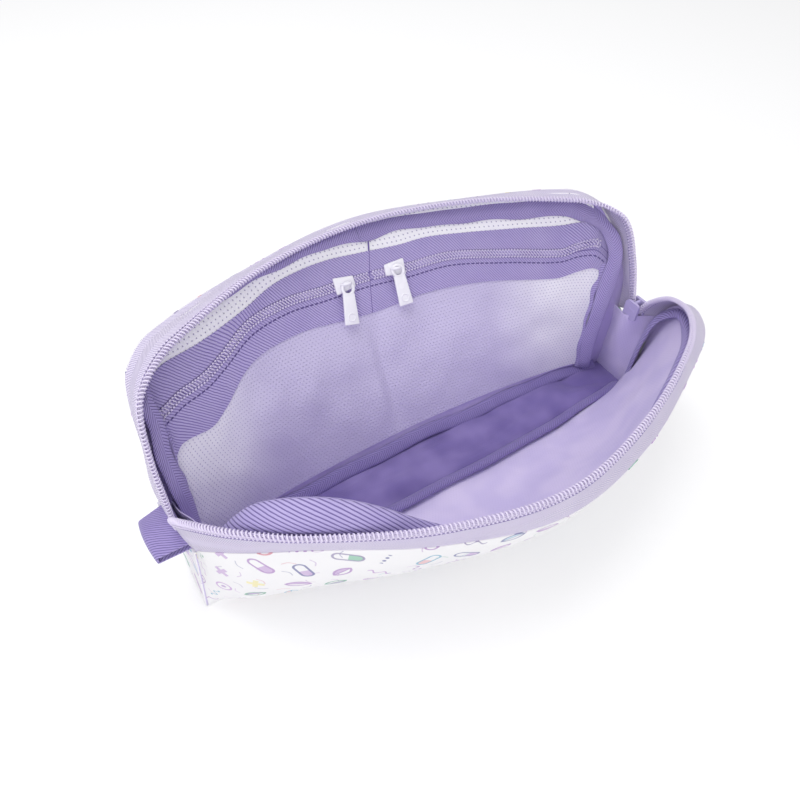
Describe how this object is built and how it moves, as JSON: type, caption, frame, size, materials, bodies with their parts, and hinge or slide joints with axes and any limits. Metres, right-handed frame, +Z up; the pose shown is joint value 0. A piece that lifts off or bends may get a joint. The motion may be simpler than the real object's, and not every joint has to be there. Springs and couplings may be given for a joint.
{
  "type": "soft zip case",
  "caption": "Long soft zip case for a stethoscope, standing open on its bottom gusset, with a zipped mesh pocket inside and a loop tab",
  "frame": {"origin": "on the floor at the centre of the flat bottom gusset", "axes": "+X along the case to the end away from the loop tab, +Y to the back panel with the pocket, +Z up"},
  "size_m": [0.2786, 0.1725, 0.108],
  "materials": {
    "printed_cloth": "smooth woven cloth with small printed line motifs",
    "foam_board": "closed-cell foam board, hidden between cover and lining",
    "lining": "matte lavender lining cloth",
    "binding": "herringbone binding tape",
    "zip_tape": "pale herringbone zip tape",
    "coil": "nylon coil",
    "pocket_tape": "purple herringbone zip tape",
    "mesh": "white knitted mesh with small holes",
    "white_plastic": "glossy white"
  },
  "bodies": {
    "base": {"bottom_cover": "printed_cloth", "bottom_board": "foam_board", "bottom_lining": "lining", "end_cover_left": "printed_cloth", "end_cover_right": "printed_cloth", "end_lining_left": "lining", "end_lining_right": "lining", "bottom_front_binding": "binding", "bottom_back_binding": "binding", "zip_end_left": "zip_tape", "zip_end_right": "zip_tape", "loop_tab": "binding", "front_cover_wings": "printed_cloth", "front_board_wings": "foam_board", "front_lining_wings": "lining", "front_binding_wings": "binding", "front_tape_wings": "zip_tape", "front_coil_wings": "coil", "back_cover_wings": "printed_cloth", "back_board_wings": "foam_board", "back_lining_wings": "lining", "back_binding_wings": "binding", "back_tape_wings": "zip_tape", "back_coil_wings": "coil", "pocket_mesh_wings": "mesh", "pocket_tape_wings": "pocket_tape", "pocket_coil_wings": "coil", "pocket_strip_wings": "mesh", "pocket_edge_left": "binding", "pocket_edge_right": "binding"},
    "front_panel": {"front_cover": "printed_cloth", "front_board": "foam_board", "front_lining": "lining", "front_binding": "binding", "front_tape": "zip_tape", "front_coil": "coil"},
    "back_panel": {"back_cover": "printed_cloth", "back_board": "foam_board", "back_lining": "lining", "back_binding": "binding", "back_tape": "zip_tape", "back_coil": "coil", "pocket_mesh_left": "mesh", "pocket_mesh_right": "mesh", "pocket_tape_lower": "pocket_tape", "pocket_tape_upper": "pocket_tape", "pocket_coil": "coil", "pocket_top_strip": "mesh", "pocket_divider": "binding"},
    "left_pocket_slider": {"left_slider": "white_plastic"},
    "left_pocket_pull": {"left_pull": "white_plastic"},
    "right_pocket_slider": {"right_slider": "white_plastic"},
    "right_pocket_pull": {"right_pull": "white_plastic"},
    "zip_slider": {"main_slider": "white_plastic"},
    "zip_pull": {"main_pull": "white_plastic"}
  },
  "joints": [
    {"name": "front_swing", "type": "hinge", "parent": "base", "child": "front_panel", "pos_m": [0, -0.015, 0.001], "axis": [-1, 0, 0], "range_deg": [0, 34]},
    {"name": "back_swing", "type": "hinge", "parent": "base", "child": "back_panel", "pos_m": [0, 0.015, 0.001], "axis": [1, 0, 0], "range_deg": [0, 24]},
    {"name": "left_pocket_zip", "type": "slide", "parent": "back_panel", "child": "left_pocket_slider", "axis": [-0.9726, -0.2323, -0.0026], "range_m": [0, 0.0504]},
    {"name": "left_pull_swing", "type": "hinge", "parent": "left_pocket_slider", "child": "left_pocket_pull", "pos_m": [-0.01454, 0.06166, 0.08419], "axis": [-0.9726, -0.2323, -0.0026], "range_deg": [0, 150]},
    {"name": "right_pocket_zip", "type": "slide", "parent": "back_panel", "child": "right_pocket_slider", "axis": [0.9731, -0.2302, -0.0026], "range_m": [0, 0.0514]},
    {"name": "right_pull_swing", "type": "hinge", "parent": "right_pocket_slider", "child": "right_pocket_pull", "pos_m": [0.01355, 0.06178, 0.08419], "axis": [-0.9731, 0.2302, 0.0026], "range_deg": [0, 150]},
    {"name": "main_zip", "type": "slide", "parent": "base", "child": "zip_slider", "axis": [0, 0, 1], "range_m": [0, 0.01]},
    {"name": "main_pull_swing", "type": "hinge", "parent": "zip_slider", "child": "zip_pull", "pos_m": [0.1337, 0, 0.052], "axis": [0, -1, 0], "range_deg": [0, 150]}
  ]
}
